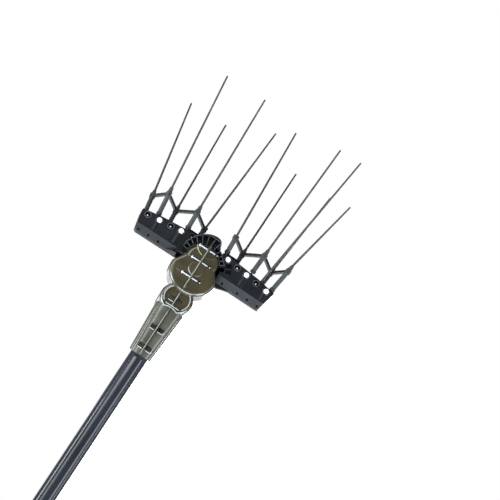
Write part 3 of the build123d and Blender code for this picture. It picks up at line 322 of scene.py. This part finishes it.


# Beads -------------------------------------------------------------------------------------
# They draw moulded edges, and painted highlight or painted shade lines along them.
# Points are in millimetres about the drum centre: X right, Y back, Z up.

def add_piece(name, verts, faces, body, material):
    """One mesh piece that rides on a body, smooth shaded."""
    mesh = bpy.data.meshes.new(name)
    mesh.from_pydata([(x * MM, y * MM, DRUM_Z + z * MM) for x, y, z in verts], [], faces)
    mesh.polygons.foreach_set("use_smooth", [True] * len(mesh.polygons))
    mesh.materials.append(material)
    piece = bpy.data.objects.new(name, mesh)
    bpy.context.scene.collection.objects.link(piece)
    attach(piece, body)


def tube(points, radius, closed=False):
    """Vertices and faces of a round bead along a path, with rounded ends when it is open."""
    path = [Vector(point) for point in points]
    count = len(path)
    verts = []
    for k, here in enumerate(path):
        before = path[k - 1] if closed or k > 0 else here
        after = path[(k + 1) % count] if closed or k < count - 1 else here
        along = (after - before).normalized()
        across = along.cross(Vector((0.0, 1.0, 0.0)))
        if across.length < PARALLEL:
            across = along.cross(Vector((1.0, 0.0, 0.0)))
        across.normalize()
        other = along.cross(across)
        size = radius * (END_SHRINK if not closed and k in (0, count - 1) else 1.0)
        for j in range(TUBE_SIDES):
            turn = 2 * math.pi * j / TUBE_SIDES
            verts.append(here + (across * math.cos(turn) + other * math.sin(turn)) * size)
    faces = []
    for k in range(count if closed else count - 1):
        low = k * TUBE_SIDES
        high = ((k + 1) % count) * TUBE_SIDES
        for j in range(TUBE_SIDES):
            i = (j + 1) % TUBE_SIDES
            faces.append((low + j, low + i, high + i, high + j))
    if not closed:
        faces.append(tuple(reversed(range(TUBE_SIDES))))
        faces.append(tuple(range((count - 1) * TUBE_SIDES, count * TUBE_SIDES)))
    return [tuple(v) for v in verts], faces


def join(tubes):
    """Several vertex and face lists as one."""
    verts = []
    faces = []
    for some_verts, some_faces in tubes:
        start = len(verts)
        verts += some_verts
        faces += [tuple(start + i for i in face) for face in some_faces]
    return verts, faces


def arc(radius, start, end, y, centre=(0.0, 0.0), steps=40):
    """Points of an arc in a plane of constant Y, angles in degrees from +X."""
    turns = [math.radians(start + (end - start) * k / steps) for k in range(steps + 1)]
    return [(centre[0] + radius * math.cos(a), y, centre[1] + radius * math.sin(a)) for a in turns]


def line(start, end, steps=8):
    """Evenly spaced points from one point to another."""
    first = Vector(start)
    last = Vector(end)
    return [tuple(first.lerp(last, k / steps)) for k in range(steps + 1)]


def half_turn(points):
    """The same points turned half a turn about Z, for the other comb."""
    return [(-x, -y, z) for x, y, z in points]


def both_ways(points):
    """A path and the same path turned half a turn about Z."""
    return [points, half_turn(points)]


def upright(y, span):
    """Upright path on the parting line at a Y, between two heights."""
    return line((SEAM_X, y, span[0]), (SEAM_X, y, span[1]))


def at_shade(points):
    """A seam path moved to where the painted shade line beside the seam runs."""
    return [(SEAM_SHADE_X, y, z) for _, y, z in points]


def seam_beads():
    """Painted highlight bead with a painted shade bead beside it along the parting line of the housing and
    the neck.
    """
    fronts = [upright(SEAM_DRUM_Y, SEAM_DRUM_SPAN), upright(SEAM_KNUCKLE_Y, SEAM_KNUCKLE_SPAN)]
    neck = line((SEAM_X, *NECK_SEAM_LOW), (SEAM_X, *NECK_SEAM_HIGH))
    back_low = (-SEAM_X, -NECK_SEAM_LOW[0], NECK_SEAM_BACK_UP)
    back = line(back_low, (-SEAM_X, -NECK_SEAM_HIGH[0], NECK_SEAM_HIGH[1]))
    verts, faces = join([tube(path, SEAM_R) for points in fronts for path in both_ways(at_shade(points))])
    add_piece("housing_seam_shade", verts, faces, ROOT, ACCENTS["shadow_bead"])
    verts, faces = tube(at_shade(neck), SEAM_R)
    add_piece("neck_seam_shade", verts, faces, ROOT, ACCENTS["shadow_bead"])
    verts, faces = join([tube(path, SEAM_R) for points in fronts for path in both_ways(points)])
    add_piece("housing_seam_highlight", verts, faces, ROOT, ACCENTS["olive_highlight_bead"])
    verts, faces = join([tube(path, SEAM_R) for path in (neck, back)])
    add_piece("neck_seam_highlight", verts, faces, ROOT, ACCENTS["olive_highlight_bead"])


def lobe_arc():
    """Smile-shaped painted highlight bead on the lobe of the drum."""
    verts, faces = tube(arc(*LOBE_ARC), LOBE_BEAD_R)
    add_piece("lobe_arc_highlight", verts, faces, ROOT, ACCENTS["tan_highlight_bead"])


def boss_crescent():
    """Painted highlight crescent on the lower left of the round boss."""
    verts, faces = tube(arc(*BOSS_ARC), RIM_BEAD_R)
    add_piece("boss_crescent_highlight", verts, faces, ROOT, ACCENTS["olive_highlight_bead"])


def knuckle_rims():
    """Painted highlight beads round the knuckle's panels, front and back, and where the neck begins."""
    verts, faces = join([tube(path, RIM_BEAD_R) for path in both_ways(arc(*KNUCKLE_ARC))])
    add_piece("knuckle_rim_highlight", verts, faces, ROOT, ACCENTS["rim_highlight_bead"])
    collar = [tube(arc(*shape), RIM_BEAD_R) for shape in COLLAR_ARCS]
    verts, faces = join([tube(line(*COLLAR_LINE), LIP_R), *collar])
    add_piece("collar_highlights", verts, faces, ROOT, ACCENTS["rim_highlight_bead"])


def pocket_lip_highlights():
    """Painted highlight lip along the lower edge of each front pocket of the neck and of the knuckle."""
    tubes = []
    for up, y in LIP_PLACES:
        tubes.append(tube(line((-LIP_OUT, y, up), (-LIP_IN, y, up)), LIP_R))
        low, high = HOOK_RISE
        hook = line((LIP_IN, y, up), (HOOK_OUT, y, up)) + line((HOOK_X, y, up + low), (HOOK_X, y, up + high))
        tubes.append(tube(hook, LIP_R))
    verts, faces = join(tubes)
    add_piece("pocket_lip_highlights", verts, faces, ROOT, ACCENTS["rim_highlight_bead"])
    verts, faces = tube(line((-LIP_OUT, *KNUCKLE_LIP), (-LIP_IN, *KNUCKLE_LIP)), LIP_R)
    add_piece("knuckle_lip_highlight", verts, faces, ROOT, ACCENTS["rim_highlight_bead"])


def neck_side_highlights():
    """Upright painted highlight beads on the rounded corners of the neck."""
    tubes = []
    for side in (-1, 1):
        for y_side, low_up in ((-1, SIDE_FRONT_UP), (1, SIDE_BACK_UP)):
            low = (side * SIDE_LOW[0], y_side * SIDE_LOW[1], low_up)
            high = (side * SIDE_HIGH[0], y_side * SIDE_HIGH[1], SIDE_TOP_UP)
            tubes.append(tube(line(low, high), LIP_R))
    verts, faces = join(tubes)
    add_piece("neck_side_highlights", verts, faces, ROOT, ACCENTS["olive_highlight_bead"])


def ring_point(radius, angle):
    """A point about the pivot in the plane of the ring beads, angle in radians."""
    return (radius * math.cos(angle), RING_Y, PIVOT_UP + radius * math.sin(angle))


def ring_beads():
    """Painted highlights on the edges of the radial ribs and the walls of both hub plates."""
    first, last = RING_ANGLES
    paths = [arc(RING_INNER_R, first, last, RING_Y, (0.0, PIVOT_UP), RING_STEPS),
             [ring_point(radius - CREST_INSET, math.radians(angle)) for angle, radius in CREST]]
    for k in range(RIB_COUNT):
        angle = first + k * ((last - first) / (RIB_COUNT - 1))
        turn = math.radians(angle)
        reach = crest_radius(angle) - RIB_INSET
        paths.append(line(ring_point(RIB_START_R, turn), ring_point(reach, turn), SHORT_STEPS))
    for name, turned in (("left", False), ("right", True)):
        verts, faces = join([tube(half_turn(path) if turned else path, RIB_BEAD_R) for path in paths])
        add_piece(name + "_ring_highlights", verts, faces, name + "_comb", ACCENTS["rib_highlight_bead"])


def crest_radius(angle):
    """Radius of the hub plate's crest at an angle."""
    for (low, first), (high, second) in zip(CREST, CREST[1:]):
        if angle <= high:
            return first + (second - first) * (angle - low) / (high - low)
    return CREST[-1][1]


def screw_up(x):
    """Height of a clamp screw of a comb at a distance from the pole."""
    return SCREW_UP - (x - SCREW_OUT[0]) * SCREW_DROP


def screw_beads():
    """Painted highlight ring round every clamp screw and nut recess, and a white end inside each recess."""
    for name, turned in (("left", False), ("right", True)):
        rings = []
        ends = []
        for out, row in zip(SCREW_OUT, ROD_ROW):
            faces = (-1, 1) if out > SCREW_OUT[0] else (1,)
            for side in faces:
                radius = HEAD_RING_R if row == side else NUT_RING_R
                centre = (-out, screw_up(out))
                points = arc(radius, 0, 360, side * RING_FACE, centre, HEAD_BEAD_STEPS)[:-1]
                rings.append(tube(half_turn(points) if turned else points, HEAD_BEAD_R, closed=True))
            up = screw_up(out)
            stub = line((-out, -row * STUB_IN, up), (-out, -row * STUB_OUT, up), SHORT_STEPS)
            ends.append(tube(half_turn(stub) if turned else stub, STUB_R))
        verts, faces = join(rings)
        add_piece(name + "_screw_ring_highlights", verts, faces, name + "_comb", ACCENTS["rib_highlight_bead"])
        verts, faces = join(ends)
        add_piece(name + "_screw_ends", verts, faces, name + "_comb", MATERIALS["zinc_steel"])


def make_details():
    """Every bead on the housing, the neck and the combs."""
    seam_beads()
    lobe_arc()
    boss_crescent()
    knuckle_rims()
    pocket_lip_highlights()
    neck_side_highlights()
    ring_beads()
    screw_beads()


# Stage -------------------------------------------------------------------------------------

def make_camera():
    """Long lens from below, at the angle and roll of the photograph."""
    data = bpy.data.cameras.new("camera")
    data.sensor_width = SENSOR
    data.lens = SENSOR * DISTANCE / FIELD
    data.clip_end = CLIP_END
    camera = bpy.data.objects.new("camera", data)
    bpy.context.scene.collection.objects.link(camera)
    back = Vector((0.0, -math.cos(ELEVATION), math.sin(ELEVATION)))
    camera.location = TARGET + back * DISTANCE
    look = (-back).to_track_quat("-Z", "Y").to_matrix().to_4x4()
    camera.matrix_world = Matrix.Translation(camera.location) @ look @ Matrix.Rotation(ROLL, 4, "Z")
    bpy.context.scene.camera = camera


def area_light(name, place, size, radiance, colour=WHITE, target=(0.0, 0.0, 0.6)):
    """A soft box of a width and height in metres, aimed at a point, with a set brightness."""
    data = bpy.data.lights.new(name, "AREA")
    data.shape = "RECTANGLE"
    data.size = size[0]
    data.size_y = size[1]
    data.energy = radiance * math.pi * size[0] * size[1]
    data.color = colour
    light = bpy.data.objects.new(name, data)
    bpy.context.scene.collection.objects.link(light)
    light.location = place
    light.rotation_euler = (Vector(target) - Vector(place)).to_track_quat("-Z", "Y").to_euler()


def make_floor():
    """Pale floor far below the head, with a faint glow of its own."""
    mesh = bpy.data.meshes.new("floor")
    corners = [(x * FLOOR_REACH, y * FLOOR_REACH, FLOOR_Z) for x, y in ((-1, -1), (1, -1), (1, 1), (-1, 1))]
    mesh.from_pydata(corners, [], [(0, 1, 2, 3)])
    floor = bpy.data.objects.new("floor", mesh)
    bpy.context.scene.collection.objects.link(floor)
    material = finish_material("floor_pale", (0.80, 0.80, 0.80), (0.84, 0.84, 0.84), (0.7, 0.85),
                               (40.0, 0.0005), patch=2.0)
    shader = material.node_tree.nodes["Principled BSDF"]
    shader.inputs["Emission Color"].default_value = (1.0, 1.0, 1.0, 1.0)
    shader.inputs["Emission Strength"].default_value = FLOOR_GLOW
    mesh.materials.append(material)


def make_world():
    """White surroundings for the camera and a dimmer even light on the head."""
    world = bpy.data.worlds.new("studio")
    world.use_nodes = True
    tree = world.node_tree
    background = tree.nodes["Background"]
    path = tree.nodes.new("ShaderNodeLightPath")
    seen = tree.nodes.new("ShaderNodeMapRange")
    seen.inputs["To Min"].default_value = AMBIENT
    seen.inputs["To Max"].default_value = 1.0
    tree.links.new(path.outputs["Is Camera Ray"], seen.inputs["Value"])
    tree.links.new(seen.outputs["Result"], background.inputs["Strength"])
    background.inputs["Color"].default_value = (1.0, 1.0, 1.0, 1.0)
    bpy.context.scene.world = world
    bpy.context.scene.view_settings.view_transform = "Standard"


def make_lights():
    """Soft boxes round the head: their reflections draw the glossy rims."""
    area_light("key", (-1.5, -2.2, 2.6), (2.4, 2.0), 2.3)
    area_light("pole_card", (-1.3, -1.9, 1.4), (0.8, 1.6), 2.4, (0.85, 0.97, 1.0))
    area_light("fill", (2.4, -1.8, 1.2), (0.9, 1.6), 3.0, (0.90, 0.94, 1.0))
    area_light("card_below", (0.4, -1.3, -1.5), (2.6, 0.8), 12.0, (0.80, 0.90, 1.0))
    area_light("card_left_low", (-2.2, -1.0, -0.6), (2.2, 1.3), 10.0, (0.78, 0.90, 1.0))
    area_light("card_right_low", (2.2, -1.0, -0.6), (2.2, 1.3), 9.0, (0.76, 0.88, 1.0))
    area_light("strip_left", (-2.6, -0.7, 0.3), (0.5, 2.4), 7.0, (0.92, 0.99, 1.0))
    area_light("strip_right", (2.6, -0.2, 0.3), (0.35, 2.4), 4.0, (0.75, 0.85, 1.0))
    area_light("rim", (0.8, 2.6, 1.8), (1.4, 1.4), 7.0)
    area_light("card_behind", (0.0, 2.6, -1.0), (3.4, 1.2), 2.0, (0.90, 0.95, 1.0))
    area_light("back_left", (-1.3, 2.4, 0.65), (1.4, 1.6), 1.2, (0.95, 0.97, 1.0))
    area_light("back_right", (1.3, 2.4, 0.65), (1.4, 1.6), 1.1, (0.88, 0.93, 1.0))
    area_light("back_low", (-1.4, 2.2, -0.4), (1.0, 1.0), 4.0)


make_camera()
make_floor()
make_world()
make_lights()
paint_frame()
make_details()
